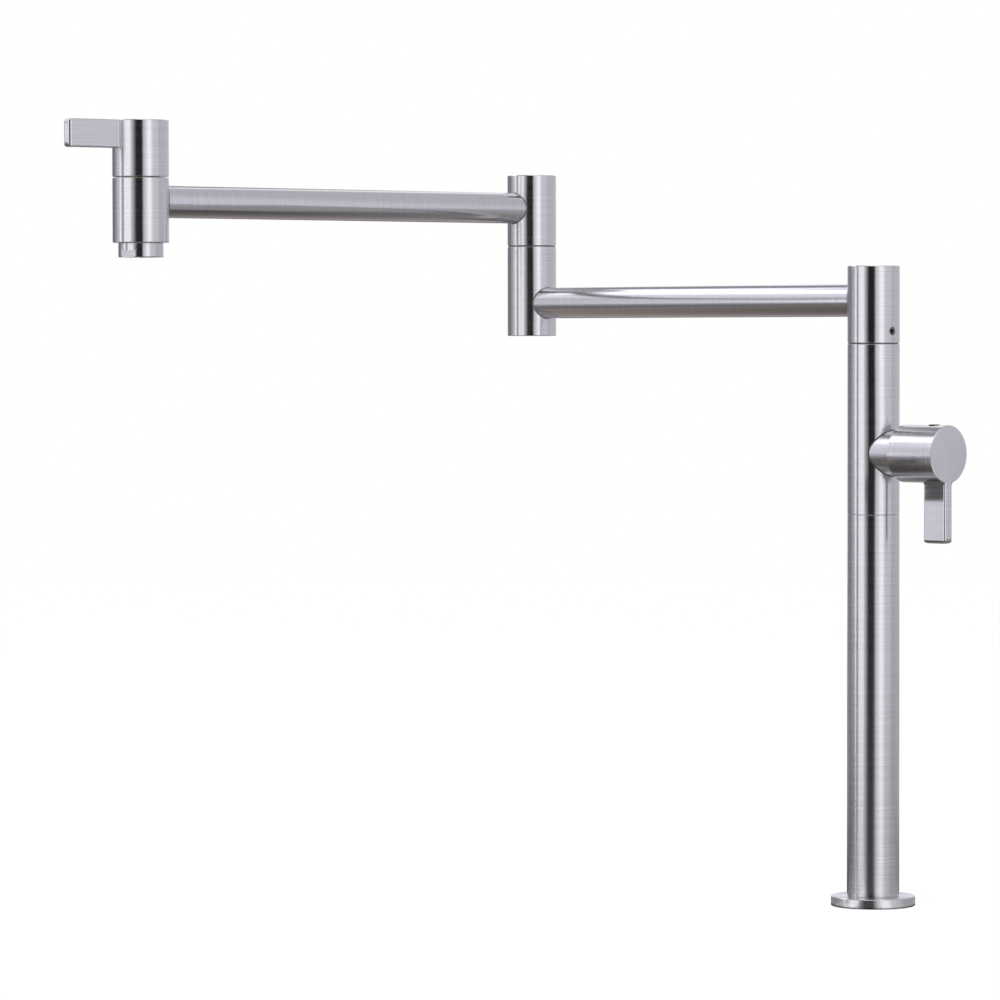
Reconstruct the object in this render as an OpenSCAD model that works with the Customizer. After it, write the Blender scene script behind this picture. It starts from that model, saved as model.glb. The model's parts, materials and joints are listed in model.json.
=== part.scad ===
// Deck-mounted pot filler: a column with a side valve, two folding arms and a spout valve.
// Origin at the centre of the flange's underside, where the deck is. +Z is up.
// +X runs along the side valve. Every joint is drawn at its photographed place.

/* [Column] */
// Diameter of the column, its swivel collar and the elbow
column_d = 32; // [31.5:0.5:36]
// Wall of the lower column tube
column_wall = 2; // [1.6:0.1:2.4]
// Length of the lower column tube
column_h = 233.5; // [150:0.5:320]
// Height of the valve body on the column
valve_body_h = 104; // [100:0.5:140]
// Height of the valve's axis above the joint between tube and valve body
valve_rise = 37.5; // [34:0.5:50]
// Height of the swivel collar
collar_h = 47.5; // [46.5:0.5:60]
// Height of the lower arm's axis above the foot of the collar
collar_port_h = 26.5; // [26:0.5:28]
// Bevel on the edges of the turned pieces
edge = 0.4; // [0.2:0.1:0.8]

/* [Flange and deck fixing] */
// Diameter of the base flange
flange_d = 51.5; // [46:0.5:70]
// Thickness of the base flange
flange_h = 6; // [5:0.5:10]
// Width of the rubber seal under the flange
base_seal_w = 4; // [3:0.5:5]
// Depth of the rubber seal under the flange
base_seal_h = 1.5; // [1:0.1:2.5]
// Length of the threaded shank below the deck
shank_len = 58; // [52:1:90]
// Length of the shank inside the column tube
shank_spigot = 20; // [15:1:40]
// Thickness of the deck that the washers close on
deck_t = 30; // [10:1:36]
// Diameter of both deck washers
deck_washer_d = 50; // [44:1:60]
// Thickness of the rubber deck washer
rubber_washer_h = 2.5; // [2:0.5:4]
// Thickness of the steel deck washer
steel_washer_h = 2; // [1.5:0.5:3]
// Width of the deck nut across its flats
deck_nut_af = 40; // [38:1:44]
// Height of the deck nut
deck_nut_h = 9; // [7:0.5:12]
// Pitch of the shank's thread
thread_pitch = 1.5; // [1:0.25:2]
// Depth of the shank's thread
thread_depth = 0.8; // [0.5:0.1:1]

/* [Supply pipe] */
// Outer diameter of the supply pipe
pipe_d = 15; // [12:0.5:15]
// Wall of the supply pipe
pipe_wall = 1; // [0.7:0.1:1.2]
// Length of the supply pipe below the deck
pipe_drop = 95; // [80:1:200]
// Distance of the insertion mark from the pipe's lower end
pipe_mark = 30; // [20:1:35]
// Outer diameter of the nipple between pipe and valve body
nipple_d = 24; // [22:0.5:24]
// Length of the nipple
nipple_h = 13; // [12:0.5:14]

/* [Arms] */
// Distance between the pivots at the two ends of an arm
arm_len = 312; // [200:1:380]
// Outer diameter of the arm tubes
arm_d = 20; // [18:0.5:20]
// Wall of the arm tubes
arm_wall = 1.2; // [1:0.1:2]
// Direction of the lower arm, seen from above
lower_yaw = 175.5; // [0:0.5:360]
// Direction of the upper arm, seen from above
upper_yaw = 263; // [0:0.5:360]
// Distance from a pivot's axis to the seat of an arm tube
arm_seat = 12.2; // [12:0.1:13]
// Bore of the water way into an arm tube
arm_port_d = 15; // [10:0.5:16]

/* [Elbow] */
// Height of the lower half of the elbow
elbow_lower_h = 58.5; // [56:0.5:70]
// Height of the upper half of the elbow
elbow_upper_h = 46.5; // [45:0.5:60]
// Height of the upper arm's axis above the foot of the upper half
elbow_port_h = 25; // [25:0.5:27]
// Distance from the elbow's foot to the lower arm's axis
elbow_foot = 21.5; // [19:0.5:24]
// Bore of the water chamber in the elbow's lower half
elbow_bore_d = 16; // [12:0.5:17]
// Depth of that chamber below the lower arm's axis
elbow_sump = 11; // [10:0.5:14]

/* [Swivel joints] */
// Diameter of the hollow post that a swivel turns on
post_d = 22; // [21:0.5:22]
// Diameter of the post's screwed foot
post_foot_d = 20; // [19:0.5:20]
// Length of the post's screwed foot
post_foot_h = 14; // [12:0.5:15]
// Bore of the post
post_bore = 10; // [6:0.5:11]
// Thickness of the closed top of a swivelling piece
swivel_cap = 5; // [3.5:0.5:5]
// Height of the retaining screw above the foot of a swivelling piece
screw_rise = 7.75; // [7:0.25:7.75]
// Diameter of the retaining screw
screw_d = 5; // [5:0.5:6]
// Diameter of the dog point on the retaining screw
screw_dog_d = 3.5; // [3:0.5:4]
// Section of the O-rings on a post
o_ring_section = 2.4; // [2:0.1:2.6]
// Distance of each O-ring from the arm's axis
o_ring_offset = 11.6; // [11:0.1:11.6]
// Thickness of the washer that a swivel turns on
washer_h = 0.5; // [0.4:0.1:1]
// Running clearance between pieces that turn on each other
run = 0.05; // [0.02:0.01:0.08]
// Assembly clearance between pieces that stay together
fit = 0.03; // [0.01:0.01:0.05]

/* [Valve cartridges] */
// Outer diameter of the cartridge sleeve
cartridge_d = 18; // [17.5:0.5:18]
// Diameter of the ceramic discs
disc_d = 15; // [14:0.5:15]
// Thickness of each ceramic disc
disc_h = 3; // [2.5:0.25:3]
// Thickness of the seal under the discs
seat_seal_h = 2; // [1.5:0.25:2]
// Bore of the valve seat
seat_bore = 11; // [9:0.5:11]
// Diameter of the spindle
spindle_d = 8; // [6:0.5:8]
// Distance from the seat to the end of the spindle
spindle_end = 57; // [54:0.5:57]
// Diameter of the collar nut that holds a cartridge
cartridge_nut_d = 22; // [21.5:0.5:22]
// Thickness of the collar nut
cartridge_nut_h = 4; // [3:0.5:4]
// Diameter of the neck that the side valve's cartridge screws into
neck_d = 28; // [27:0.5:28.5]
// Distance from the column's axis to the end of that neck
neck_reach = 27.5; // [26.5:0.5:28]
// Distance of the side valve's seat behind the column's axis
seat_back = 3; // [3:0.5:3.5]

/* [Levers] */
// Diameter of the side valve's barrel
barrel_d = 35; // [34.5:0.5:38]
// Distance from the column's axis to the barrel's rear rim
barrel_back = 25; // [24:0.5:26]
// Distance from the column's axis to the barrel's front face
barrel_front = 59; // [58:0.5:64]
// Height of the spout's turning knob
knob_h = 35.5; // [34.5:0.5:40]
// Width of the side valve's lever, along its turning axis
column_lever_w = 17; // [12:0.5:18]
// Width of the spout's lever, along its turning axis
spout_lever_w = 17.5; // [12:0.5:18]
// Thickness of both levers
lever_t = 7; // [5:0.5:9]
// Distance from the turning axis to the end of a lever
lever_reach = 54; // [40:1:80]
// Radius of a lever's end corners, seen on its wide side
lever_corner = 3; // [1.5:0.5:3.5]
// Radius of a lever's end corners, seen from its front
lever_end = 2; // [0.5:0.25:2]
// Radius along a lever's long edges
lever_edge = 1.25; // [0.5:0.25:1.25]
// Distance of a lever's clamp screw behind the front face
clamp_back = 11.3; // [9:0.1:13]
// Diameter of the clamp screw
clamp_d = 5; // [4:0.5:5]
// Diameter of the plug over the clamp screw
plug_d = 7; // [6:0.5:8]
// How far the plug stands proud of the barrel
plug_proud = 0.4; // [0.2:0.1:0.8]
// Direction of the spout's lever, seen from above
spout_lever_yaw = 261; // [0:0.5:360]

/* [Spout] */
// Diameter of the spout body and its turning knob
spout_d = 35; // [34.5:0.5:38]
// Height of the spout body
spout_h = 40; // [40:0.5:50]
// Height of the upper arm's axis above the foot of the spout body
spout_port_h = 25.5; // [25:0.5:26.5]
// Diameter of the aerator housing
aerator_d = 28; // [27.5:0.5:30]
// Visible height of the aerator housing
aerator_h = 9; // [8:0.5:12]
// Diameter of the aerator's screwed part
aerator_thread_d = 24; // [23.5:0.5:24.5]
// Length of the aerator's screwed part
aerator_thread_h = 6.5; // [5:0.5:6.5]
// Thickness of the aerator's gasket
gasket_h = 1.5; // [1:0.25:2]
// Bore of the aerator's outlet
outlet_d = 19; // [16:0.5:19]
// Wall between the aerator insert and the screw thread
aerator_wall = 1.5; // [1.2:0.1:1.8]
// Distance across the wrench flats on the aerator
flat_af = 26; // [25.5:0.5:27]
// Height of the wrench flats
flat_h = 4.3; // [3:0.1:6]
// Direction of the first wrench flat, seen from above
flat_yaw = 282; // [0:1:360]

/* [Hidden] */
$fn = 72;
eps = 0.01;

column_top = flange_h + column_h;
valve_z = column_top + valve_rise;
valve_top = column_top + valve_body_h;
lower_arm_z = valve_top + collar_port_h;
elbow_bottom = lower_arm_z - elbow_foot;
elbow_seam = elbow_bottom + elbow_lower_h;
upper_arm_z = elbow_seam + elbow_port_h;
spout_bottom = upper_arm_z - spout_port_h;
spout_top = spout_bottom + spout_h;
knob_top = spout_top + knob_h;
elbow_x = arm_len * cos(lower_yaw);
elbow_y = arm_len * sin(lower_yaw);
spout_x = elbow_x + arm_len * cos(upper_yaw);
spout_y = elbow_y + arm_len * sin(upper_yaw);

column_bore = column_d - 2 * column_wall;
seam_gap = washer_h + run;
washer_margin = 0.6;
washer_clear = 0.6;
gap_axial = 0.03;
// Edge break at the fine seam between tube and valve body
seam_edge = 0.45;
// Bevel on the ends of small screws
screw_edge = 0.3;
// Play across the diameter of pieces that only lie in each other
loose = 0.2;
// Play across the diameter of an O-ring in its bore
ring_play = 0.04;

// Places on a swivel post, measured up from the foot of the piece that turns
groove_margin = 0.5;
groove_depth = 1.6;
dog_clear = 0.2;
port_relief = 14;
port_relief_d = 17;
post_seal_rise = 3;
post_play = 0.5;
plenum_h = 4;
o_ring_groove_w = o_ring_section + 0.6;
o_ring_outer = post_d + 2 * run - ring_play;
o_ring_groove_d = o_ring_outer - 2 * o_ring_section;
foot_seal_outer = post_foot_d - ring_play;
foot_seal_groove_d = foot_seal_outer - 2 * o_ring_section;
screw_recess = 0.3;

// Places along a cartridge, measured from its seat
disc_top = seat_seal_h + 2 * disc_h;
tang_h = 4;
tang_w = 4;
tang_slot = 1;
window_low = disc_top + 1;
window_h = 5;
window_w = 8;
sleeve_roof = window_low + window_h + 1.5;
sleeve_wall = 1.45;
flange_place = 20;
cartridge_flange_h = 2;
nut_place = flange_place + cartridge_flange_h;
nut_end = nut_place + cartridge_nut_h;
cartridge_neck_d = 14;
cartridge_neck_end = nut_end + 5;
relief_depth = 1.5;
spindle_seal_place = 18;
spindle_seal_section = 1.5;
spindle_seal_outer = spindle_d + 2 * run - ring_play;
spindle_groove_d = spindle_seal_outer - 2 * spindle_seal_section;
port_angle = 35;
port_inner_d = 4.5;
spout_seat_z = upper_arm_z - window_low - window_h / 2;

// Water ways in the valve body
inlet_x = -7.5;
inlet_d = 8;
seat_way = 10;
outlet_x = 6.5;
outlet_way_d = 6.8;
spigot_h = 18;
nipple_socket = 10;
nipple_bore = 12;
nipple_recess = 16;
nipple_seal_section = 1.8;
nipple_seal_rise = 9;
nipple_seal_outer = nipple_d - ring_play;
nipple_groove_d = nipple_seal_outer - 2 * nipple_seal_section;
nipple_low = column_top - spigot_h - 1;
pipe_top = nipple_low + nipple_socket;

// The barrels of both handles, measured from the seat of their cartridge
valve_front = barrel_front + seat_back;
spout_front = knob_top - spout_seat_z;
spout_back = spout_top + seam_gap - spout_seat_z;
knob_bore = 24;
hub_depth = 12;
plug_depth = 2.5;

aerator_bore = aerator_thread_d - 2 * aerator_wall;
aerator_lip = 1.5;
aerator_floor = 2.5;
stream_hole_d = 1.4;
stream_pitch = 2.2;
gasket_z = spout_bottom + aerator_thread_h;

shank_d = column_bore;
shank_bore = pipe_d + loose;
thread_start = 12;
flat_reach = 20;

// A turned bar or tube with bevelled outer edges
module turned(d, h, bore = 0, bevel = edge) {
    rotate_extrude() polygon([
        [bore / 2, 0], [d / 2 - bevel, 0], [d / 2, bevel],
        [d / 2, h - bevel], [d / 2 - bevel, h], [bore / 2, h]
    ]);
}

module ring(outer, inner, h) {
    rotate_extrude() translate([inner / 2, 0]) square([(outer - inner) / 2, h]);
}

module o_ring(outer, section) {
    rotate_extrude() translate([(outer - section) / 2, 0]) circle(d = section, $fn = 24);
}

// What a groove of one width takes from a bar, centred on its height
module groove(bar_d, floor_d, w) {
    translate([0, 0, -w / 2]) ring(bar_d + 2, floor_d, w);
}

module rounded_rect(low, size, r) {
    translate(low) {
        translate([r, 0]) square([size.x - 2 * r, size.y]);
        translate([0, r]) square([size.x, size.y - 2 * r]);
        for (x = [r, size.x - r], y = [r, size.y - r]) translate([x, y]) circle(r = r, $fn = 32);
    }
}

module at_elbow(z) translate([elbow_x, elbow_y, z]) children();
module at_spout(z) translate([spout_x, spout_y, z]) children();
// Turns a piece's own Z axis to point along X
module lay() rotate([0, 90, 0]) children();
module at_valve() translate([-seat_back, 0, valve_z]) lay() children();
module at_spout_valve() at_spout(spout_seat_z) children();

// The seat of an arm tube and the way into it, cut along +X
module arm_socket(from = 0) {
    lay() {
        translate([0, 0, from]) cylinder(d = arm_port_d, h = arm_seat - from + eps);
        translate([0, 0, arm_seat]) cylinder(d = arm_d + 2 * fit, h = spout_d);
    }
}

module arm_tube() {
    lay() translate([0, 0, arm_seat]) ring(arm_d, arm_d - 2 * arm_wall, arm_len - 2 * arm_seat);
}

// The post of a swivel, with its foot below zero
module post(port_h, top_h) {
    difference() {
        rotate_extrude() polygon([
            [0, -post_foot_h], [post_foot_d / 2 - fit - edge, -post_foot_h],
            [post_foot_d / 2 - fit, edge - post_foot_h], [post_foot_d / 2 - fit, 0], [post_d / 2, 0],
            [post_d / 2, top_h - edge], [post_d / 2 - edge, top_h], [0, top_h]
        ]);
        translate([0, 0, -post_foot_h - eps])
            cylinder(d = post_bore, h = post_foot_h + port_h + post_bore / 2);
        for (turn = [0, 90]) rotate(turn) translate([-post_d / 2, 0, port_h]) lay()
            cylinder(d = post_bore * 0.7, h = post_d);
        translate([0, 0, port_h]) groove(post_d, port_relief_d, port_relief);
        translate([0, 0, screw_rise])
            groove(post_d, post_d - 2 * groove_depth, screw_dog_d + 2 * groove_margin);
        for (side = [-1, 1]) translate([0, 0, port_h + side * o_ring_offset])
            groove(post_d, o_ring_groove_d, o_ring_groove_w);
        translate([0, 0, post_seal_rise - post_foot_h])
            groove(post_foot_d, foot_seal_groove_d, o_ring_groove_w);
    }
}

module post_o_ring(port_h, side) translate([0, 0, port_h + side * o_ring_offset])
    o_ring(o_ring_outer, o_ring_section);

module post_foot_seal() translate([0, 0, post_seal_rise - post_foot_h])
    o_ring(foot_seal_outer, o_ring_section);

module post_socket() {
    translate([0, 0, -post_foot_h - plenum_h]) cylinder(d = post_foot_d, h = post_foot_h + plenum_h + eps);
}

module post_washer() ring(column_d - 2 * washer_margin, post_d + 2 * run, washer_h);

// The closed piece that turns on a post and carries an arm along +X
module swivel_housing(h, port_h) {
    difference() {
        translate([0, 0, seam_gap]) turned(column_d, h - seam_gap);
        translate([0, 0, -eps]) cylinder(d = post_d + 2 * run, h = h - swivel_cap + eps);
        translate([0, 0, port_h]) arm_socket();
        translate([-column_d, 0, screw_rise]) lay() cylinder(d = screw_d + 2 * fit, h = column_d);
    }
}

// The grub screw that holds a swivel down, its dog point in the post's groove
module retaining_screw() {
    tip = post_d / 2 - groove_depth + dog_clear;
    thread_from = post_d / 2 + 0.5;
    thread_to = column_d / 2 - screw_recess;
    translate([0, 0, screw_rise]) rotate([0, -90, 0]) difference() {
        union() {
            translate([0, 0, tip]) cylinder(d = screw_dog_d, h = thread_from - tip + eps);
            translate([0, 0, thread_from]) turned(screw_d, thread_to - thread_from, bevel = screw_edge);
        }
        translate([0, 0, thread_to - screw_d * 0.45]) cylinder(d = screw_d * 0.577, h = screw_d, $fn = 6);
    }
}

// Two opposite water ports of a ceramic disc, as flat shapes
module disc_ports(turn) {
    for (side = [0, 180]) rotate(turn + side) intersection() {
        difference() {
            circle(d = disc_d - 3);
            circle(d = port_inner_d);
        }
        polygon([[0, 0], [disc_d, -disc_d * tan(port_angle)], [disc_d, disc_d * tan(port_angle)]]);
    }
}

module seat_seal() ring(cartridge_d - loose, seat_bore, seat_seal_h);

module fixed_disc() {
    translate([0, 0, seat_seal_h]) linear_extrude(disc_h) difference() {
        circle(d = disc_d);
        disc_ports(0);
    }
}

module turning_disc() {
    translate([0, 0, seat_seal_h + disc_h + gap_axial]) difference() {
        linear_extrude(disc_h) difference() {
            circle(d = disc_d - loose);
            disc_ports(90);
        }
        translate([-disc_d, -tang_w / 2 - fit, disc_h - tang_slot])
            cube([2 * disc_d, tang_w + 2 * fit, disc_h]);
    }
}

module spindle() {
    foot = disc_top + gap_axial - tang_slot;
    difference() {
        union() {
            intersection() {
                translate([0, 0, foot]) cylinder(d = disc_d - 0.4, h = tang_h);
                translate([-disc_d / 2, -tang_w / 2, foot]) cube([disc_d, tang_w, tang_h]);
            }
            translate([0, 0, foot + tang_h - eps]) turned(spindle_d, spindle_end - foot - tang_h);
        }
        translate([0, 0, spindle_seal_place])
            groove(spindle_d, spindle_groove_d, spindle_seal_section + 0.4);
    }
}

module spindle_seal() translate([0, 0, spindle_seal_place])
    o_ring(spindle_seal_outer, spindle_seal_section);

module cartridge_sleeve() {
    difference() {
        union() {
            translate([0, 0, seat_seal_h]) cylinder(d = cartridge_d, h = flange_place - seat_seal_h + eps);
            translate([0, 0, flange_place]) cylinder(d = cartridge_nut_d - loose, h = cartridge_flange_h);
            translate([0, 0, nut_place - eps]) turned(cartridge_neck_d, cartridge_neck_end - nut_place);
        }
        translate([0, 0, seat_seal_h - eps])
            cylinder(d = disc_d + 0.1, h = sleeve_roof - seat_seal_h);
        cylinder(d = spindle_d + 2 * run, h = spindle_end);
        for (turn = [0, 90]) rotate(turn)
            translate([-cartridge_d, -window_w / 2, window_low]) cube([2 * cartridge_d, window_w, window_h]);
    }
}

module cartridge_nut() {
    translate([0, 0, nut_place]) difference() {
        ring(cartridge_nut_d - 2 * fit, cartridge_neck_d + loose, cartridge_nut_h);
        for (turn = [0, 90]) rotate(turn)
            translate([-cartridge_nut_d, -1.5, cartridge_nut_h - 1.5]) cube([2 * cartridge_nut_d, 3, 3]);
    }
}

// The chamber that a cartridge screws into, open beyond the given length
module cartridge_chamber(length) {
    cylinder(d = cartridge_d + 0.1, h = flange_place + eps);
    translate([0, 0, window_low - 1]) cylinder(d = cartridge_d + 2 * relief_depth, h = window_h + 2);
    translate([0, 0, flange_place]) cylinder(d = cartridge_nut_d, h = length - flange_place + eps);
}

// A barrel that fits over a cartridge, with its lever along +X, measured from the seat
module handle(d, back, front, hollow_d, lever_w) {
    lever_low = front - lever_w;
    difference() {
        union() {
            translate([0, 0, back]) turned(d, front - back);
            intersection() {
                translate([0, lever_t / 2, 0]) rotate([90, 0, 0]) linear_extrude(lever_t)
                    rounded_rect([0, lever_low], [lever_reach, lever_w], lever_corner);
                linear_extrude(front) rounded_rect([0, -lever_t / 2], [lever_reach, lever_t], lever_end);
                lay() linear_extrude(lever_reach)
                    rounded_rect([-front, -lever_t / 2], [lever_w, lever_t], lever_edge);
            }
        }
        translate([0, 0, back - eps]) cylinder(d = hollow_d, h = hub_depth + eps);
        cylinder(d = spindle_d + 2 * fit, h = spindle_end + 0.1);
        translate([0, 0, front - clamp_back]) rotate([0, -90, 0]) {
            cylinder(d = clamp_d + 2 * fit, h = d);
            translate([0, 0, plug_seat(d)]) cylinder(d = plug_d + 2 * fit, h = d);
        }
    }
}

function plug_seat(d) = d / 2 - plug_depth;

module clamp_screw(d, front) {
    from = spindle_d / 2;
    length = plug_seat(d) - from - 0.5;
    translate([0, 0, front - clamp_back]) rotate([0, -90, 0]) translate([0, 0, from]) difference() {
        turned(clamp_d, length, bevel = screw_edge);
        translate([0, 0, length - clamp_d * 0.45]) cylinder(d = clamp_d * 0.577, h = clamp_d, $fn = 6);
    }
}

module clamp_plug(d, front) {
    translate([0, 0, front - clamp_back]) rotate([0, -90, 0]) translate([0, 0, plug_seat(d)])
        turned(plug_d, d / 2 - plug_seat(d) + plug_proud, bevel = 0.35);
}

module base_flange() color("silver") difference() {
    turned(flange_d, flange_h);
    translate([0, 0, -eps]) cylinder(d = shank_d + 2 * fit, h = flange_h + 2 * eps);
    translate([0, 0, -eps]) base_seal_ring(fit, base_seal_h + eps);
}

module base_seal_ring(clear, h) {
    mid = (flange_d + shank_d) / 2;
    ring(mid + base_seal_w + 2 * clear, mid - base_seal_w - 2 * clear, h);
}

module base_seal() color("dimgray") base_seal_ring(0, base_seal_h);

module deck_shank() color("gray") difference() {
    crest = shank_d / 2 - fit;
    turns = floor((shank_len - thread_start) / thread_pitch);
    rotate_extrude() polygon([
        [0, -shank_len], [crest - thread_depth, -shank_len],
        for (i = [0 : turns - 1]) each [
            [crest, -shank_len + (i + 0.4) * thread_pitch],
            [crest, -shank_len + (i + 0.6) * thread_pitch],
            [crest - thread_depth, -shank_len + (i + 1) * thread_pitch]
        ],
        [crest, -thread_start + thread_pitch], [crest, flange_h + shank_spigot], [0, flange_h + shank_spigot]
    ]);
    translate([0, 0, -shank_len - eps]) cylinder(d = shank_bore, h = shank_len + flange_h + shank_spigot + 1);
}

module deck_washer_rubber() color("dimgray") translate([0, 0, -deck_t - rubber_washer_h])
    ring(deck_washer_d, shank_d + washer_clear, rubber_washer_h);

module deck_washer_steel() color("silver") translate([0, 0, -deck_t - rubber_washer_h - steel_washer_h])
    ring(deck_washer_d, shank_d + washer_clear, steel_washer_h);

module deck_nut() color("gray") difference() {
    low = -deck_t - rubber_washer_h - steel_washer_h - deck_nut_h;
    translate([0, 0, low]) intersection() {
        cylinder(d = deck_nut_af / cos(30), h = deck_nut_h, $fn = 6);
        turned(deck_nut_af / cos(30) - 0.4, deck_nut_h, bevel = 1.2);
    }
    translate([0, 0, low - eps]) cylinder(d = shank_d + 2 * fit, h = deck_nut_h + 1);
}

module column_tube() color("silver") translate([0, 0, flange_h])
    turned(column_d, column_h, column_bore, seam_edge);

module supply_pipe() color("gainsboro") translate([0, 0, -pipe_drop]) difference() {
    ring(pipe_d, pipe_d - 2 * pipe_wall, pipe_top + pipe_drop);
    translate([0, 0, pipe_mark + 0.5]) groove(pipe_d, pipe_d - 0.6, 1);
}

module inlet_nipple() color("goldenrod") translate([0, 0, nipple_low]) difference() {
    turned(nipple_d - 2 * fit, nipple_h);
    translate([0, 0, -eps]) cylinder(d = nipple_bore, h = nipple_h + 1);
    translate([0, 0, -eps]) cylinder(d = pipe_d + 2 * fit, h = nipple_socket + eps);
    translate([0, 0, nipple_seal_rise])
        groove(nipple_d, nipple_groove_d, nipple_seal_section + 0.5);
}

module nipple_o_ring() color("dimgray") translate([0, 0, nipple_low + nipple_seal_rise])
    o_ring(nipple_seal_outer, nipple_seal_section);

module valve_body() color("silver") difference() {
    union() {
        translate([0, 0, column_top]) turned(column_d, valve_body_h, bevel = seam_edge);
        translate([0, 0, column_top - spigot_h]) cylinder(d = column_bore - 2 * fit, h = spigot_h + 1);
        translate([0, 0, valve_z]) lay() turned(neck_d, neck_reach);
    }
    translate([0, 0, column_top - spigot_h - eps]) cylinder(d = nipple_d, h = nipple_recess + eps);
    translate([inlet_x, 0, column_top - spigot_h + nipple_recess - 1])
        cylinder(d = inlet_d, h = valve_z - column_top + spigot_h - nipple_recess + 1);
    translate([-seat_back - seat_way, 0, valve_z]) lay() cylinder(d = seat_bore, h = seat_way + eps);
    at_valve() cartridge_chamber(neck_reach + seat_back);
    translate([outlet_x, 0, valve_z]) cylinder(d = outlet_way_d, h = valve_top - valve_z - post_foot_h);
    translate([0, 0, valve_top]) post_socket();
}

module valve_seat_seal() color("dimgray") at_valve() seat_seal();
module valve_disc_fixed() color("whitesmoke") at_valve() fixed_disc();
module valve_cartridge_sleeve() color("goldenrod") at_valve() cartridge_sleeve();
module valve_cartridge_nut() color("goldenrod") at_valve() cartridge_nut();

module swivel_post() color("gray") translate([0, 0, valve_top])
    post(collar_port_h, collar_h - swivel_cap - post_play);
module swivel_post_seal() color("dimgray") translate([0, 0, valve_top]) post_foot_seal();
module swivel_o_ring_lower() color("dimgray") translate([0, 0, valve_top]) post_o_ring(collar_port_h, -1);
module swivel_o_ring_upper() color("dimgray") translate([0, 0, valve_top]) post_o_ring(collar_port_h, 1);
module swivel_washer() color("white") translate([0, 0, valve_top]) post_washer();

module column_lever() color("silver") at_valve()
    handle(barrel_d, barrel_back + seat_back, valve_front, neck_d + 0.8, column_lever_w);
module valve_disc_turning() color("ivory") at_valve() turning_disc();
module valve_spindle() color("goldenrod") at_valve() spindle();
module valve_spindle_o_ring() color("dimgray") at_valve() spindle_seal();
module column_lever_screw() color("gray") at_valve() clamp_screw(barrel_d, valve_front);
module column_lever_plug() color("dimgray") at_valve() clamp_plug(barrel_d, valve_front);

module swivel_collar() color("silver") translate([0, 0, valve_top]) rotate(lower_yaw)
    swivel_housing(collar_h, collar_port_h);
module collar_screw() color("gray") translate([0, 0, valve_top]) rotate(lower_yaw) retaining_screw();
module lower_arm_tube() color("silver") translate([0, 0, lower_arm_z]) rotate(lower_yaw) arm_tube();

module elbow_lower() color("silver") difference() {
    at_elbow(elbow_bottom) turned(column_d, elbow_lower_h);
    at_elbow(lower_arm_z - elbow_sump)
        cylinder(d = elbow_bore_d, h = elbow_lower_h - elbow_foot + elbow_sump - post_foot_h);
    at_elbow(lower_arm_z) rotate(lower_yaw + 180) arm_socket();
    at_elbow(elbow_seam) post_socket();
}

module elbow_post() color("gray") at_elbow(elbow_seam)
    post(elbow_port_h, elbow_upper_h - swivel_cap - post_play);
module elbow_post_seal() color("dimgray") at_elbow(elbow_seam) post_foot_seal();
module elbow_o_ring_lower() color("dimgray") at_elbow(elbow_seam) post_o_ring(elbow_port_h, -1);
module elbow_o_ring_upper() color("dimgray") at_elbow(elbow_seam) post_o_ring(elbow_port_h, 1);
module elbow_washer() color("white") at_elbow(elbow_seam) post_washer();

module elbow_upper() color("silver") at_elbow(elbow_seam) rotate(upper_yaw)
    swivel_housing(elbow_upper_h, elbow_port_h);
module elbow_screw() color("gray") at_elbow(elbow_seam) rotate(upper_yaw) retaining_screw();
module upper_arm_tube() color("silver") at_elbow(upper_arm_z) rotate(upper_yaw) arm_tube();

module spout_body() color("silver") difference() {
    at_spout(spout_bottom) turned(spout_d, spout_h);
    at_spout_valve() cartridge_chamber(spout_top - spout_seat_z);
    at_spout(spout_bottom) cylinder(d = seat_bore, h = spout_seat_z - spout_bottom + eps);
    at_spout(spout_bottom - eps) cylinder(d = aerator_thread_d, h = aerator_thread_h + gasket_h + eps);
    at_spout(upper_arm_z) rotate(upper_yaw + 180) arm_socket(cartridge_d / 2);
}

module spout_seat_seal() color("dimgray") at_spout_valve() seat_seal();
module spout_disc_fixed() color("whitesmoke") at_spout_valve() rotate(spout_lever_yaw) fixed_disc();
module spout_cartridge_sleeve() color("goldenrod") at_spout_valve() rotate(spout_lever_yaw)
    cartridge_sleeve();
module spout_cartridge_nut() color("goldenrod") at_spout_valve() cartridge_nut();

module aerator_housing() color("silver") difference() {
    at_spout(spout_bottom - aerator_h) {
        turned(aerator_d, aerator_h);
        cylinder(d = aerator_thread_d - 2 * fit, h = aerator_h + aerator_thread_h);
    }
    at_spout(spout_bottom - aerator_h - eps) cylinder(d = outlet_d, h = aerator_h);
    at_spout(spout_bottom - aerator_h + aerator_lip)
        cylinder(d = aerator_bore, h = aerator_h + aerator_thread_h);
    for (side = [0, 180]) at_spout(spout_bottom - aerator_h - eps) rotate(flat_yaw + side)
        translate([flat_af / 2, -flat_reach / 2, 0]) cube([flat_reach, flat_reach, flat_h + eps]);
}

// The aerator's insert: a plastic cup with a grid of stream holes in its floor
module aerator_insert() color("lightgray") at_spout(spout_bottom - aerator_h + aerator_lip) {
    cup_d = aerator_bore - 2 * fit;
    rings = floor((outlet_d / 2 - stream_hole_d) / stream_pitch);
    difference() {
        turned(cup_d, aerator_h + aerator_thread_h - aerator_lip);
        translate([0, 0, aerator_floor])
            cylinder(d = cup_d - 2 * aerator_wall, h = aerator_h + aerator_thread_h);
        translate([0, 0, -eps]) cylinder(d = stream_hole_d, h = aerator_floor + 1, $fn = 16);
        for (i = [1 : rings], j = [0 : 6 * i - 1]) rotate(j * 60 / i) translate([i * stream_pitch, 0, -eps])
            cylinder(d = stream_hole_d, h = aerator_floor + 1, $fn = 16);
    }
}

module aerator_gasket() color("dimgray") at_spout(gasket_z)
    ring(aerator_thread_d - loose, aerator_bore - 2 * aerator_wall, gasket_h);

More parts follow.
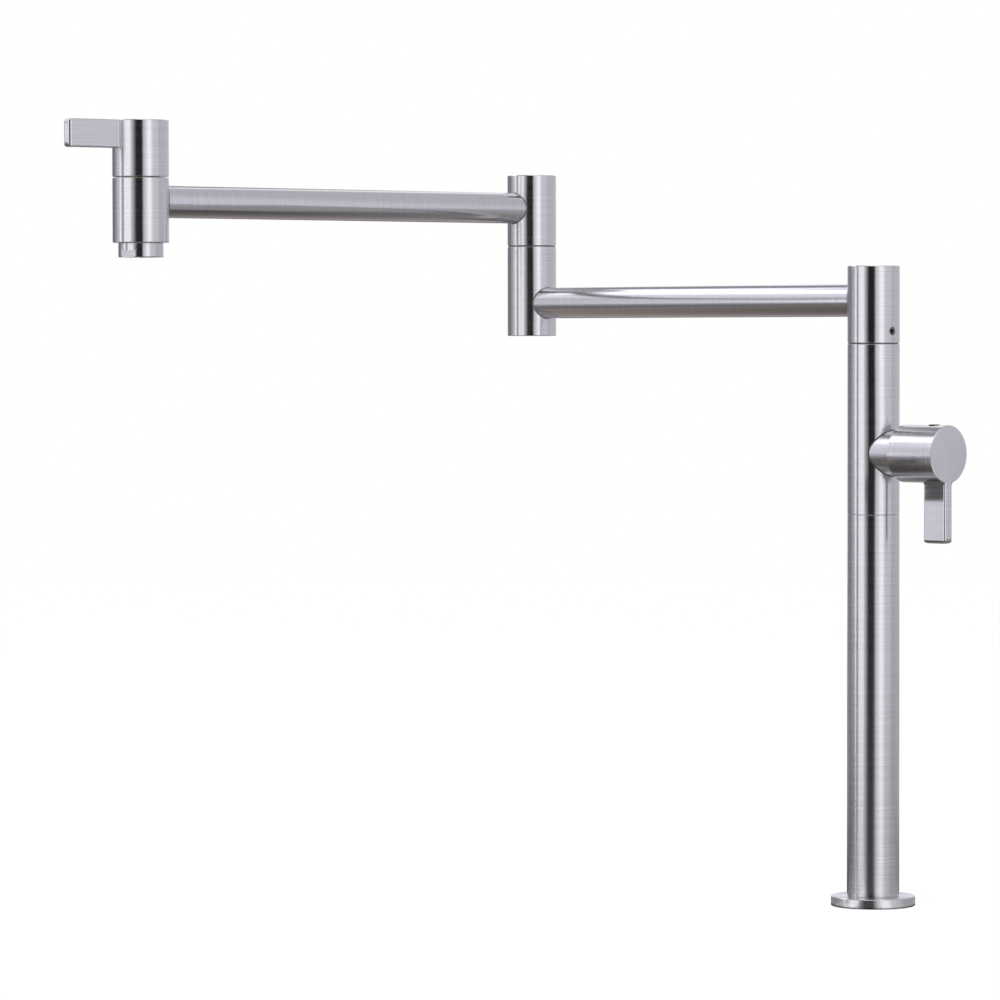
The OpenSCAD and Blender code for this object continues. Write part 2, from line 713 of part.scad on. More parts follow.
module spout_lever() color("silver") at_spout_valve() rotate(spout_lever_yaw)
    handle(spout_d, spout_back, spout_front, knob_bore, spout_lever_w);
module spout_disc_turning() color("ivory") at_spout_valve() rotate(spout_lever_yaw) turning_disc();
module spout_spindle() color("goldenrod") at_spout_valve() rotate(spout_lever_yaw) spindle();
module spout_spindle_o_ring() color("dimgray") at_spout_valve() spindle_seal();
module spout_lever_screw() color("gray") at_spout_valve() rotate(spout_lever_yaw)
    clamp_screw(spout_d, spout_front);
module spout_lever_plug() color("dimgray") at_spout_valve() rotate(spout_lever_yaw)
    clamp_plug(spout_d, spout_front);

base_flange();
base_seal();
deck_shank();
deck_washer_rubber();
deck_washer_steel();
deck_nut();
column_tube();
supply_pipe();
inlet_nipple();
nipple_o_ring();
valve_body();
valve_seat_seal();
valve_disc_fixed();
valve_cartridge_sleeve();
valve_cartridge_nut();
swivel_post();
swivel_post_seal();
swivel_o_ring_lower();
swivel_o_ring_upper();
swivel_washer();
column_lever();
valve_disc_turning();
valve_spindle();
valve_spindle_o_ring();
column_lever_screw();
column_lever_plug();
swivel_collar();
collar_screw();
lower_arm_tube();
elbow_lower();
elbow_post();
elbow_post_seal();
elbow_o_ring_lower();
elbow_o_ring_upper();
elbow_washer();
elbow_upper();
elbow_screw();
upper_arm_tube();
spout_body();
spout_seat_seal();
spout_disc_fixed();
spout_cartridge_sleeve();
spout_cartridge_nut();
aerator_housing();
aerator_insert();
aerator_gasket();
spout_lever();
spout_disc_turning();
spout_spindle();
spout_spindle_o_ring();
spout_lever_screw();
spout_lever_plug();
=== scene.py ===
import json
import math

import bmesh
import bpy
from mathutils import Matrix, Vector


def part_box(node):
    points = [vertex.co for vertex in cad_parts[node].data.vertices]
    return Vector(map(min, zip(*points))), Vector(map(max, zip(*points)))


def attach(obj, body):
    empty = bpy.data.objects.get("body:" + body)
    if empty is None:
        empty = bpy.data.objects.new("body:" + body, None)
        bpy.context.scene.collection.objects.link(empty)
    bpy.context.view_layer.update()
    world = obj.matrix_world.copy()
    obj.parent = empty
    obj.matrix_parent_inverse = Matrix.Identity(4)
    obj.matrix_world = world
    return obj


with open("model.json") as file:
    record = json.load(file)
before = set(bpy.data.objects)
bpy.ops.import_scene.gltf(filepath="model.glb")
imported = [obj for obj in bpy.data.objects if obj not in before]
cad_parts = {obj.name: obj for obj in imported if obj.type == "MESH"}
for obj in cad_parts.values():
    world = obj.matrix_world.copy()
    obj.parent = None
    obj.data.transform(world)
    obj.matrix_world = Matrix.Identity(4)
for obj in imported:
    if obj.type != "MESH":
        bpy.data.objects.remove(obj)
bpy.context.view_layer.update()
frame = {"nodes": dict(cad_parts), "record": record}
nodes = frame["nodes"]
UP = Vector((0, 0, 1))

# Sizes from the part's source, in metres, for the small pieces that follow its shapes
POST_RADIUS = 0.016
NECK_RADIUS = 0.014
ARM_RADIUS = 0.01
BARREL_RADIUS = 0.0175
SLAB_HALF = 0.0035
VALVE_Z = 0.277
LOWER_ARM_Z = 0.37
UPPER_ARM_Z = 0.432
SPOUT_LEVER_YAW = 261
BEAD_RADIUS = 0.00045
BEAD_STEPS = 96
FILLET_RADIUS = 0.0015
FILLET_STEPS = 10
# How far a fillet's inner corner lies inside the barrel and inside the slab
FILLET_IN_BARREL = 0.0003
FILLET_IN_SLAB = 0.0001
# Where the fillets start and end along each lever's turning axis
COLUMN_LEVER_FILLETS = (0.0424, 0.0587)
SPOUT_LEVER_FILLETS = (0.4649, 0.4817)
# The side lever's slab starts here, just inside the barrel's underside
SLAB_TOP_Z = VALVE_Z - BARREL_RADIUS + 0.0003

# How fine the hairlines are: steps of noise per metre along and across them
FINE_LINES = (30, 30, 3500)
BROAD_LINES = (12, 12, 1400)
FINE_SHARE = 0.7
# How much the hairlines change the tone and the sheen, and how deep they are
TONE_SPREAD = 1.5
SHEEN_SPREAD = 0.12
LINE_DEPTH = 0.0002
# The stretched highlights stand at a quarter turn to the hairlines
HIGHLIGHT_TURN = 0.25
# Roughness of the turned steel and of the side lever's slab, and how strong the slab's hairlines are
TURNED_ROUGHNESS = 0.18
SLAB_ROUGHNESS = 0.1
SLAB_BUMP = 0.01
# How much the sheen varies on the moulded and machined pieces
PLAIN_SHEEN_SPREAD = 0.15

# The camera stands about three metres off with a long lens, and looks slightly down
CAMERA_PLACE = Vector((1.957, -2.357, 0.351))
CAMERA_HEADING = 43.97
CAMERA_PITCH = 1.92
CAMERA_ROLL = -0.10
CAMERA_LENS = 180.2
CAMERA_TURN = math.radians(CAMERA_HEADING)
CAMERA_RIGHT = Vector((math.cos(CAMERA_TURN), math.sin(CAMERA_TURN), 0))
TOWARDS_CAMERA = Vector((CAMERA_RIGHT.y, -CAMERA_RIGHT.x, 0))

# The studio's panels stand on a sphere round the object
STUDIO_CENTRE = Vector((0, 0, 0.3))
STUDIO_RADIUS = 2.6
# The longest facets of a panel, in degrees up and round
PANEL_FACET_UP = 10
PANEL_FACET_ROUND = 6
FLOOR_RADIUS = 4.0
FLOOR_GREY = 0.8
FLOOR_GLOW = 1.06
FLOOR_GLOW_SHARE = 0.9
# The cloth on the floor: its tone grows outwards and to the right, and its tint is warm on the left
FLOOR_FLAG_RADIUS = 0.95
FLOOR_FLAG_Z = 0.0005
FLAG_TONE_OUT = 0.42
FLAG_TONE_RIGHT = 0.2
FLAG_TINT_SLOPE = 2
FLAG_TINT_MIDDLE = 0.8
# The bands on that cloth: their height, and the distances from the column's axis where rings part
FLOOR_BAND_Z = 0.0008
FOOT_START = 0.027
FOOT_END = 0.07
# Cards that the levers mirror: name, place on the lever, way, distance, width, height, brightness
LEVER_CARDS = (
    ("side_lever_card", (0.0522, -0.0035, 0.2535), (-0.639, -0.769, 0.009), 0.06, 0.0145, 0.0145, 0.1),
    ("spout_lever_card", (-0.3574, -0.3385, 0.4733), (-0.919, -0.392, 0.04), 0.05, 0.008, 0.02, 1.1),
)
STUDIO_TINT = (1.0, 0.99, 1.02)
SIDE_TINT = (1.0, 0.985, 1.075)
LOW_TINT = (1.0, 0.97, 0.97)
WARM_TINT = (1.0, 0.87, 0.8)
ROOM_TINT = (0.95, 0.95, 1)
ROOM_TONE = 0.6
# Panels that start between these turns have the studio's tint, and the rest the sides' tint
FRONT_FROM = -72
FRONT_TO = 57

# Name, first and last turn from the camera, lowest and highest elevation, brightness
PANELS = (
    ("camera_flag", -24, 7, -70, 70, 0.01),
    ("right_softbox_edge", 7, 15, -12, 70, 0.6),
    ("right_softbox_fade", 15, 26, -12, 60, 0.88),
    ("right_softbox", 26, 47, -12, 60, 1.25),
    ("right_wall_edge", 47, 57, -12, 60, 0.85),
    ("right_wall", 57, 85, -12, 60, 0.73),
    ("right_far_wall", 85, 175, -6, 14, 0.62),
    ("right_far_high_wall", 85, 175, 14, 75, 0.56),
    ("left_flag_edge", -32, -24, -12, 70, 0.25),
    ("left_softbox_edge", -41, -32, -12, 60, 0.62),
    ("left_softbox", -69, -41, -12, 60, 1.2),
    ("left_gap", -76.5, -69, -12, 22, 0.3),
    ("left_second_softbox", -82.5, -76.5, -6, 22, 0.84),
    ("left_strip", -86.5, -82.5, -10, 2.5, 2.6),
    ("left_strip_top", -86.5, -82.5, 2.5, 22, 0.84),
    ("left_third_softbox", -88, -86.5, -6, 22, 0.84),
    ("left_wall", -101, -88, -6, 22, 0.7),
    ("back_left_edge", -114, -101, -6, 22, 0.42),
    ("back_left_wall", -150, -114, -6, 22, 0.22),
    ("left_high_fade", -150, -72, 22, 35, 0.92),
    ("left_high_softbox", -118, -72, 35, 48.5, 1.7),
    ("back_left_high_softbox", -150, -118, 35, 46.5, 1.7),
    ("high_flag", -118, -72, 48.5, 75, 0.2),
    ("back_left_high_wall", -170, -118, 46.5, 75, 0.17),
    ("back_high_edge", -172, -150, 20, 46.5, 0.33),
    ("left_low_edge", -180, -76.5, -12, -6, 0.32),
    ("left_low_rim", -180, -24, -18, -12, 0.2),
    ("left_low_flag", -180, -24, -70, -18, 0.15),
    ("right_low_edge", 85, 180, -12, -6, 0.4),
    ("right_low_rim", 7, 180, -25, -12, 0.4),
    ("right_low_flag", 7, 180, -70, -25, 0.26),
    ("back_wall", 175, 210, -6, 20, 0.8),
)

# The floor's bands: name, first and last turn, first and last distance, brightness
FLOOR_BANDS = (
    ("foot_far_left", -135, -73, FOOT_START, FOOT_END, 0.32),
    ("foot_left", -73, -47, FOOT_START, FOOT_END, 0.56),
    ("foot_left_softbox", -47, -29, FOOT_START, FOOT_END, 1.2),
    ("foot_left_edge", -29, -23, FOOT_START, FOOT_END, 0.5),
    ("foot_camera", -23, 1.5, FOOT_START, FOOT_END, 0.1),
    ("foot_right_edge", 1.5, 7.5, FOOT_START, FOOT_END, 0.4),
    ("foot_right_fade", 7.5, 14, FOOT_START, FOOT_END, 0.75),
    ("foot_right_softbox", 14, 32, FOOT_START, FOOT_END, 1.15),
    ("foot_right_wall", 32, 53, FOOT_START, FOOT_END, 0.7),
    ("foot_right_far_edge", 53, 61, FOOT_START, FOOT_END, 0.52),
    ("foot_right_far_wall", 61, 150, FOOT_START, FOOT_END, 0.4),
    ("floor_far_left", -130, -100, FOOT_END, 0.18, 0.28),
    ("floor_left", -100, -76, FOOT_END, 0.18, 0.4),
    ("floor_left_fade", -76, -66, FOOT_END, FLOOR_FLAG_RADIUS, 0.5),
    ("floor_left_softbox", -66, -46, FOOT_END, FLOOR_FLAG_RADIUS, 0.62),
    ("floor_left_edge", -46, -36, FOOT_END, FLOOR_FLAG_RADIUS, 0.4),
    ("floor_left_dark", -36, -27, FOOT_END, FLOOR_FLAG_RADIUS, 0.2),
    ("floor_camera", -27, -1, FOOT_END, FLOOR_FLAG_RADIUS, 0.09),
    ("floor_right_dark", -1, 7, FOOT_END, FLOOR_FLAG_RADIUS, 0.25),
    ("floor_right_edge", 7, 16, FOOT_END, FLOOR_FLAG_RADIUS, 0.5),
    ("floor_right_fade", 16, 25, FOOT_END, FLOOR_FLAG_RADIUS, 0.7),
    ("floor_right_softbox", 25, 43, FOOT_END, FLOOR_FLAG_RADIUS, 0.85),
    ("floor_right_wall_edge", 43, 52, FOOT_END, FLOOR_FLAG_RADIUS, 0.6),
    ("floor_right_wall", 52, 72, FOOT_END, FLOOR_FLAG_RADIUS, 0.5),
    ("floor_right_far_wall", 72, 110, FOOT_END, FLOOR_FLAG_RADIUS, 0.35),
    ("floor_far_right", 110, 150, FOOT_END, 0.2, 0.3),
)


class Value:
    """A socket that adds maths nodes when Python operators are used on it."""

    def __init__(self, material, socket):
        self.material, self.socket = material, socket

    def maths(self, operation, other, swapped=False):
        first, second = (other, self) if swapped else (self, other)
        return self.material.node("ShaderNodeMath", {"operation": operation}, {0: first, 1: second})

    def __add__(self, other):
        return self.maths("ADD", other)

    __radd__ = __add__

    def __mul__(self, other):
        return self.maths("MULTIPLY", other)

    __rmul__ = __mul__

    def __sub__(self, other):
        return self.maths("SUBTRACT", other)

    def __rsub__(self, other):
        return self.maths("SUBTRACT", other, True)

    def under(self, limit):
        return self.maths("LESS_THAN", limit)

    def clamped(self):
        return self.material.node("ShaderNodeClamp", {}, {"Value": self})


class Finish:
    """A material, or the world, built from nodes by short expressions."""

    def __init__(self, owner, surface):
        self.owner = owner
        owner.use_nodes = True
        self.tree = owner.node_tree
        self.tree.nodes.clear()
        self.output = self.tree.nodes.new(surface)

    def node(self, kind, settings=None, inputs=None, out=0):
        made = self.tree.nodes.new(kind)
        for name, value in (settings or {}).items():
            setattr(made, name, value)
        for name, value in (inputs or {}).items():
            if isinstance(value, Value):
                self.tree.links.new(value.socket, made.inputs[name])
            else:
                made.inputs[name].default_value = value
        return Value(self, made.outputs[out])

    def surface(self, shader):
        self.tree.links.new(shader.socket, self.output.inputs["Surface"])


def material(name):
    """A new material without nodes but its output."""
    return Finish(bpy.data.materials.new(name), "ShaderNodeOutputMaterial")


def paint(node, finish):
    """Gives a node one material in all its slots."""
    piece = nodes[node]
    piece.data.materials.clear()
    piece.data.materials.append(finish.owner)


def line_noise(m, local, fineness, detail):
    """Noise that is drawn out into lines round the local upright axis."""
    place = m.node("ShaderNodeMapping", {"vector_type": "POINT"}, {"Vector": local, "Scale": fineness})
    return m.node("ShaderNodeTexNoise", {"noise_dimensions": "3D"},
                  {"Vector": place, "Scale": 1.0, "Detail": detail, "Roughness": 0.6})


def hairline_shader(m, axis=(0, 0, 1), centre=(0, 0, 0), tone=(0.72, 0.715, 0.735), roughness=0.21,
                    lean=0.93, streak=0.12, bump=0.085):
    """Brushed stainless steel whose hairlines run round an axis."""
    place = m.node("ShaderNodeTexCoord", out=3)
    turn = Vector(axis).to_track_quat("Z", "Y").to_matrix().inverted().to_euler()
    from_centre = m.node("ShaderNodeVectorMath", {"operation": "SUBTRACT"}, {0: place, 1: Vector(centre)})
    local = m.node("ShaderNodeMapping", {"vector_type": "POINT"}, {"Vector": from_centre, "Rotation": turn})
    fine = line_noise(m, local, FINE_LINES, detail=2.0)
    broad = line_noise(m, local, BROAD_LINES, detail=3.0)
    grain = (fine - 0.5) * FINE_SHARE + (broad - 0.5)
    light = tuple(min(1.0, part * (1 + TONE_SPREAD * streak)) for part in tone)
    dark = tuple(part * (1 - TONE_SPREAD * streak) for part in tone)
    colour = m.node("ShaderNodeMix", {"data_type": "RGBA"},
                    {0: (grain + 0.5).clamped(), 6: (*dark, 1), 7: (*light, 1)}, out=2)
    normal = m.node("ShaderNodeBump", {}, {"Height": grain, "Strength": bump, "Distance": LINE_DEPTH})
    return m.node("ShaderNodeBsdfPrincipled", {}, {
        "Base Color": colour, "Metallic": 1.0, "Roughness": grain * SHEEN_SPREAD + roughness,
        "Normal": normal, "Anisotropic": lean, "Anisotropic Rotation": HIGHLIGHT_TURN})


def hairline_steel(name, **brushing):
    """A material of brushed stainless steel."""
    m = material(name)
    m.surface(hairline_shader(m, **brushing))
    return m


def lever_finish(name, edge_z):
    """The side lever's steel: turned above the given height, and brushed across the slab below it."""
    m = material(name)
    centre = centre_of("valve_spindle")
    turned = hairline_shader(m, (1, 0, 0), centre, roughness=TURNED_ROUGHNESS, lean=0)
    slab = hairline_shader(m, centre=centre, roughness=SLAB_ROUGHNESS, lean=0, bump=SLAB_BUMP)
    place = m.node("ShaderNodeTexCoord", out=3)
    height = m.node("ShaderNodeSeparateXYZ", {}, {"Vector": place}, out=2)
    m.surface(m.node("ShaderNodeMixShader", {}, {0: height.under(edge_z), 1: turned, 2: slab}))
    return m


def plain(name, tone, roughness, metallic=0.0, speckle=0.04, scale=900.0):
    """A moulded or machined material with a slight unevenness in tone and sheen."""
    m = material(name)
    place = m.node("ShaderNodeTexCoord", out=3)
    noise = m.node("ShaderNodeTexNoise", {}, {"Vector": place, "Scale": scale, "Detail": 2.0})
    light = tuple(min(1.0, part * (1 + speckle)) for part in tone)
    dark = tuple(part * (1 - speckle) for part in tone)
    colour = m.node("ShaderNodeMix", {"data_type": "RGBA"}, {0: noise, 6: (*dark, 1), 7: (*light, 1)}, out=2)
    sheen = (noise - 0.5) * PLAIN_SHEEN_SPREAD + roughness
    m.surface(m.node("ShaderNodeBsdfPrincipled", {}, {
        "Base Color": colour, "Metallic": metallic, "Roughness": sheen}))
    return m


def centre_of(node):
    """The middle of a node's box."""
    low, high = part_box(node)
    return (low + high) / 2


elbow_centre = centre_of("elbow_lower")
spout_centre = centre_of("spout_body")
elbow_foot = Vector((elbow_centre.x, elbow_centre.y, 0))
spout_foot = Vector((spout_centre.x, spout_centre.y, 0))
lower_arm_axis = elbow_foot.normalized()
upper_arm_axis = (spout_foot - elbow_foot).normalized()

column_steel = hairline_steel("column_steel")
elbow_steel = hairline_steel("elbow_steel", centre=elbow_centre)
spout_steel = hairline_steel("spout_steel", centre=spout_centre)
lower_arm_steel = hairline_steel("lower_arm_steel", axis=lower_arm_axis, centre=centre_of("lower_arm_tube"),
                                 roughness=TURNED_ROUGHNESS, lean=0)
upper_arm_steel = hairline_steel("upper_arm_steel", axis=upper_arm_axis, centre=centre_of("upper_arm_tube"),
                                 roughness=TURNED_ROUGHNESS, lean=0)
lever_steel = lever_finish("lever_steel", SLAB_TOP_Z)
for node in ("base_flange", "column_tube", "valve_body", "swivel_collar"):
    paint(node, column_steel)
for node in ("elbow_lower", "elbow_upper"):
    paint(node, elbow_steel)
for node in ("spout_body", "spout_lever", "aerator_housing"):
    paint(node, spout_steel)
paint("lower_arm_tube", lower_arm_steel)
paint("upper_arm_tube", upper_arm_steel)
paint("column_lever", lever_steel)

SLOT_FINISHES = {
    "inner_steel": plain("inner_steel", (0.5, 0.5, 0.52), 0.3, 1.0),
    "supply_steel": plain("supply_steel", (0.58, 0.57, 0.56), 0.25, 1.0),
    "cartridge_brass": plain("cartridge_brass", (0.72, 0.55, 0.27), 0.28, 1.0),
    "disc_ceramic": plain("disc_ceramic", (0.9, 0.89, 0.85), 0.12, speckle=0.01),
    "seal_rubber": plain("seal_rubber", (0.04, 0.04, 0.045), 0.6),
    "white_plastic": plain("white_plastic", (0.82, 0.82, 0.8), 0.4),
    "dark_plastic": plain("dark_plastic", (0.05, 0.05, 0.055), 0.35),
}
for row in frame["record"]["subparts"]:
    if row["material_slot"] in SLOT_FINISHES:
        paint(row["node"], SLOT_FINISHES[row["material_slot"]])

blackened_steel = plain("blackened_steel", (0.2, 0.2, 0.21), 0.35, 1.0)
paint("collar_screw", blackened_steel)
paint("elbow_screw", blackened_steel)


def add_piece(name, data, body, finish):
    """Makes a finished mesh or curve a piece of the object that moves with a body."""
    piece = bpy.data.objects.new(name, data)
    bpy.context.scene.collection.objects.link(piece)
    data.materials.append(finish.owner)
    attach(piece, body)


def add_weld_bead(name, body, foot, along, post_radius, tube_radius, finish):
    """The thin bead all the way round a tube where it meets an upright post."""
    along = along.normalized()
    side = UP.cross(along)
    curve = bpy.data.curves.new(name, "CURVE")
    curve.dimensions = "3D"
    curve.bevel_depth = BEAD_RADIUS
    curve.bevel_resolution = 3
    line = curve.splines.new("POLY")
    line.points.add(BEAD_STEPS - 1)
    line.use_cyclic_u = True
    for step, point in enumerate(line.points):
        turn = math.tau * step / BEAD_STEPS
        across = tube_radius * math.cos(turn)
        out = math.sqrt(post_radius ** 2 - across ** 2)
        place = foot + along * out + side * across + UP * (tube_radius * math.sin(turn))
        point.co = (*place, 1)
    add_piece(name, curve, body, finish)


def add_lever_fillets(name, body, axis_point, lever_way, turning_way, ends, finish):
    """The two small fillets where a lever's slab runs into its round barrel."""
    across_way = turning_way.cross(lever_way)
    to_world = Matrix((lever_way, across_way, turning_way)).transposed().to_4x4()
    to_world.translation = axis_point
    low, high = ends
    middle = BARREL_RADIUS + FILLET_RADIUS
    lift = SLAB_HALF + FILLET_RADIUS
    centre = Vector((math.sqrt(middle ** 2 - lift ** 2), lift, low))
    sweep = math.pi / 2 - math.atan2(lift, centre.x)
    mesh = bpy.data.meshes.new(name)
    build = bmesh.new()
    start = build.verts.new(centre - Vector((0, FILLET_RADIUS, 0)))
    bmesh.ops.spin(build, geom=[start], cent=centre, axis=UP, angle=-sweep, steps=FILLET_STEPS,
                   use_merge=False)
    arc = list(build.verts)
    corner_x = math.sqrt(BARREL_RADIUS ** 2 - SLAB_HALF ** 2)
    inner = build.verts.new((corner_x - FILLET_IN_BARREL, SLAB_HALF - FILLET_IN_SLAB, low))
    face = build.faces.new([*arc, inner])
    raised = bmesh.ops.extrude_face_region(build, geom=[face])["geom"]
    raised_corners = [item for item in raised if isinstance(item, bmesh.types.BMVert)]
    bmesh.ops.translate(build, vec=UP * (high - low), verts=raised_corners)
    bmesh.ops.mirror(build, geom=build.verts[:] + build.edges[:] + build.faces[:], axis="Y", merge_dist=-1)
    bmesh.ops.recalc_face_normals(build, faces=build.faces)
    bmesh.ops.transform(build, matrix=to_world, verts=build.verts)
    build.to_mesh(mesh)
    build.free()
    add_piece(name, mesh, body, finish)


def add_camera():
    """The camera that sees what the photograph shows."""
    data = bpy.data.cameras.new("camera")
    data.lens = CAMERA_LENS
    data.sensor_width = 36
    data.clip_start, data.clip_end = 0.1, 20
    camera = bpy.data.objects.new("camera", data)
    bpy.context.scene.collection.objects.link(camera)
    turn = (Matrix.Rotation(math.radians(CAMERA_HEADING), 4, "Z")
            @ Matrix.Rotation(math.radians(90 - CAMERA_PITCH), 4, "X")
            @ Matrix.Rotation(math.radians(CAMERA_ROLL), 4, "Z"))
    camera.matrix_world = Matrix.Translation(CAMERA_PLACE) @ turn
    bpy.context.scene.camera = camera


def add_panel(name, turn_from, turn_to, low, high, tone, tint):
    """A curved studio panel on the sphere; turns start at the camera and are positive to its right."""
    build = bmesh.new()
    way = turned_way(turn_from)
    low_way = way * math.cos(math.radians(low)) + UP * math.sin(math.radians(low))
    corner = build.verts.new(STUDIO_CENTRE + low_way * STUDIO_RADIUS)
    bmesh.ops.spin(build, geom=[corner], cent=STUDIO_CENTRE, axis=way.cross(UP), use_merge=False,
                   angle=math.radians(high - low), steps=facets(high - low, PANEL_FACET_UP))
    spin_round(build, build.verts[:] + build.edges[:], STUDIO_CENTRE, turn_to - turn_from)
    add_glow(name, build, glow(name, tone, tint))


def turned_way(turn):
    """The level direction from the column at a turn from the camera, in degrees."""
    towards = math.atan2(CAMERA_PLACE.y, CAMERA_PLACE.x) + math.radians(turn)
    return Vector((math.cos(towards), math.sin(towards), 0))


def facets(angle, longest):
    """The number of facets that an arc of this angle gets, in degrees."""
    return max(2, round(angle / longest))


def spin_round(build, line, centre, angle):
    """Sweeps a line of the mesh round the upright through a point, by an angle in degrees."""
    bmesh.ops.spin(build, geom=line, cent=centre, axis=UP, use_merge=False,
                   angle=math.radians(angle), steps=facets(angle, PANEL_FACET_ROUND))


def add_floor_flag():
    """A dark cloth round the foot, which only the metal sees."""
    build = bmesh.new()
    bmesh.ops.create_circle(build, cap_ends=True, segments=48, radius=FLOOR_FLAG_RADIUS)
    bmesh.ops.translate(build, vec=UP * FLOOR_FLAG_Z, verts=build.verts)
    m = material("floor_flag")
    place = m.node("ShaderNodeTexCoord", out=3)
    right = m.node("ShaderNodeVectorMath", {"operation": "DOT_PRODUCT"}, {0: place, 1: CAMERA_RIGHT}, out=1)
    near = m.node("ShaderNodeVectorMath", {"operation": "DOT_PRODUCT"}, {0: place, 1: TOWARDS_CAMERA}, out=1)
    away = m.node("ShaderNodeVectorMath", {"operation": "LENGTH"}, {0: place}, out=1)
    tone = (away * FLAG_TONE_OUT + (right - near) * FLAG_TONE_RIGHT).clamped()
    side = (right * FLAG_TINT_SLOPE + FLAG_TINT_MIDDLE).clamped()
    tint = m.node("ShaderNodeMix", {"data_type": "RGBA"},
                  {0: side, 6: (*WARM_TINT, 1), 7: (*LOW_TINT, 1)}, out=2)
    m.surface(m.node("ShaderNodeEmission", {}, {"Color": tint, "Strength": tone}))
    add_glow("floor_flag", build, m)


def add_floor_band(name, turn_from, turn_to, start, reach, tone):
    """A glowing sector of the floor cloth round the foot."""
    build = bmesh.new()
    lift = UP * FLOOR_BAND_Z
    ends = [build.verts.new(turned_way(turn_from) * distance + lift) for distance in (start, reach)]
    spin_round(build, [*ends, build.edges.new(ends)], (0, 0, 0), turn_to - turn_from)
    add_glow(name, build, glow(name, tone, STUDIO_TINT))


def add_lever_card(name, mirror_place, way, distance, width, height, tone):
    """A small card that stands beside a lever and faces the place that mirrors it."""
    build = bmesh.new()
    bmesh.ops.create_grid(build, x_segments=1, y_segments=1, size=0.5)
    bmesh.ops.scale(build, vec=(width, height, 1), verts=build.verts)
    facing = Vector(way).to_track_quat("-Z", "Y").to_matrix().to_4x4()
    place = Vector(mirror_place) + Vector(way) * distance
    bmesh.ops.transform(build, matrix=Matrix.Translation(place) @ facing, verts=build.verts)
    add_glow(name, build, glow(name, tone, STUDIO_TINT))


def glow(name, tone, tint):
    """A material that only gives light."""
    m = material(name)
    m.surface(m.node("ShaderNodeEmission", {}, {"Color": (*tint, 1), "Strength": tone}))
    return m


def add_studio_mesh(name, build, finish):
    """Makes an object of a finished bmesh, with one material."""
    mesh = bpy.data.meshes.new(name)
    build.to_mesh(mesh)
    build.free()
    mesh.materials.append(finish.owner)
    piece = bpy.data.objects.new(name, mesh)
    bpy.context.scene.collection.objects.link(piece)
    return piece


def add_glow(name, build, finish):
    """Finishes a studio piece that only mirrors and metal see."""
    piece = add_studio_mesh(name, build, finish)
    piece.visible_camera = False
    piece.visible_diffuse = False
    piece.visible_shadow = False


def add_key_light(name, turn, height, distance, size, power):
    """A large soft lamp for the deck's shadow and the plastic parts, not seen in the metal."""
    data = bpy.data.lights.new(name, "AREA")
    data.shape = "DISK"
    data.size = size
    data.energy = power
    lamp = bpy.data.objects.new(name, data)
    bpy.context.scene.collection.objects.link(lamp)
    place = STUDIO_CENTRE + turned_way(turn) * distance + UP * height
    facing = (STUDIO_CENTRE - place).to_track_quat("-Z", "Y").to_matrix().to_4x4()
    lamp.matrix_world = Matrix.Translation(place) @ facing
    lamp.visible_glossy = False


def add_floor():
    """The white floor, which the camera sees and the metal doesn't mirror."""
    build = bmesh.new()
    bmesh.ops.create_circle(build, cap_ends=True, segments=96, radius=FLOOR_RADIUS)
    m = material("floor")
    diffuse = m.node("ShaderNodeBsdfDiffuse", {}, {"Color": (FLOOR_GREY, FLOOR_GREY, FLOOR_GREY, 1)})
    white = m.node("ShaderNodeEmission", {}, {"Color": (1, 1, 1, 1), "Strength": FLOOR_GLOW})
    m.surface(m.node("ShaderNodeMixShader", {}, {0: seen_rays(m) * FLOOR_GLOW_SHARE, 1: diffuse, 2: white}))
    floor = add_studio_mesh("floor", build, m)
    floor.visible_glossy = False


def seen_rays(finish):
    """One for rays from the camera, from metal or from glass, and nought for the rest."""
    kinds = [finish.node("ShaderNodeLightPath", out=name)
             for name in ("Is Camera Ray", "Is Glossy Ray", "Is Transmission Ray")]
    return (kinds[0] + kinds[1] + kinds[2]).clamped()


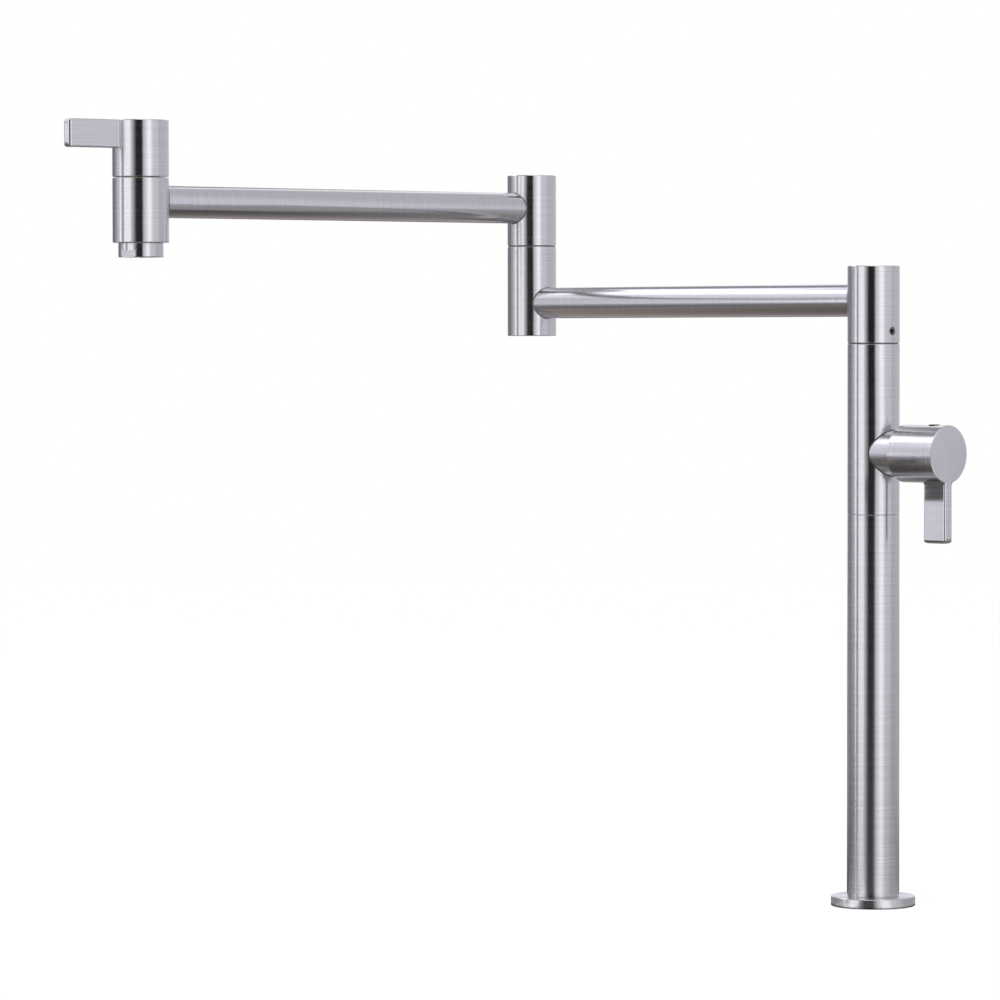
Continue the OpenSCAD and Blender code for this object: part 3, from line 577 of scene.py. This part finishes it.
def add_world():
    """A white world for the camera and the metal, and a dimmer room for the light."""
    world = Finish(bpy.data.worlds.new("studio"), "ShaderNodeOutputWorld")
    bpy.context.scene.world = world.owner
    white = world.node("ShaderNodeBackground", {}, {"Color": (1, 1, 1, 1), "Strength": 1.0})
    room = world.node("ShaderNodeBackground", {}, {"Color": (*ROOM_TINT, 1), "Strength": ROOM_TONE})
    world.surface(world.node("ShaderNodeMixShader", {}, {0: seen_rays(world), 1: room, 2: white}))


# The thin beads at the joints are real, but their dark tone is painted shade of the contact gap along each
# joint
bead_painted_shade = plain("bead_painted_shade", (0.3, 0.29, 0.29), 0.35, 1.0)
# The neck's bead is darker still: painted shade where the neck meets the column
neck_bead_painted_shade = plain("neck_bead_painted_shade", (0.13, 0.12, 0.12), 0.4, 1.0)
valve_way = Vector((1, 0, 0))
add_weld_bead("neck_bead", "root", UP * VALVE_Z, valve_way,
              POST_RADIUS, NECK_RADIUS, neck_bead_painted_shade)
add_weld_bead("collar_bead", "lower_arm", UP * LOWER_ARM_Z, lower_arm_axis,
              POST_RADIUS, ARM_RADIUS, bead_painted_shade)
add_weld_bead("elbow_lower_bead", "lower_arm", elbow_foot + UP * LOWER_ARM_Z, -lower_arm_axis,
              POST_RADIUS, ARM_RADIUS, bead_painted_shade)
add_weld_bead("elbow_upper_bead", "upper_arm", elbow_foot + UP * UPPER_ARM_Z, upper_arm_axis,
              POST_RADIUS, ARM_RADIUS, bead_painted_shade)
add_weld_bead("spout_bead", "upper_arm", spout_foot + UP * UPPER_ARM_Z, -upper_arm_axis,
              BARREL_RADIUS, ARM_RADIUS, bead_painted_shade)
spout_lever_turn = math.radians(SPOUT_LEVER_YAW)
spout_lever_way = Vector((math.cos(spout_lever_turn), math.sin(spout_lever_turn), 0))
add_lever_fillets("column_lever_fillets", "column_lever", UP * VALVE_Z, -UP, valve_way,
                  COLUMN_LEVER_FILLETS, lever_steel)
add_lever_fillets("spout_lever_fillets", "spout_lever", spout_foot, spout_lever_way, UP,
                  SPOUT_LEVER_FILLETS, spout_steel)

add_camera()
add_floor()
add_world()
for name, turn_from, turn_to, low, high, tone in PANELS:
    tint = STUDIO_TINT if FRONT_FROM <= turn_from < FRONT_TO else SIDE_TINT
    add_panel(name, turn_from, turn_to, low, high, tone, tint)
for name, turn_from, turn_to, start, reach, tone in FLOOR_BANDS:
    add_floor_band(name, turn_from, turn_to, start, reach, tone)
add_floor_flag()
for card in LEVER_CARDS:
    add_lever_card(*card)
add_key_light("key", turn=-35, height=2.2, distance=2.0, size=1.6, power=22)

bpy.context.scene.view_settings.view_transform = "Standard"
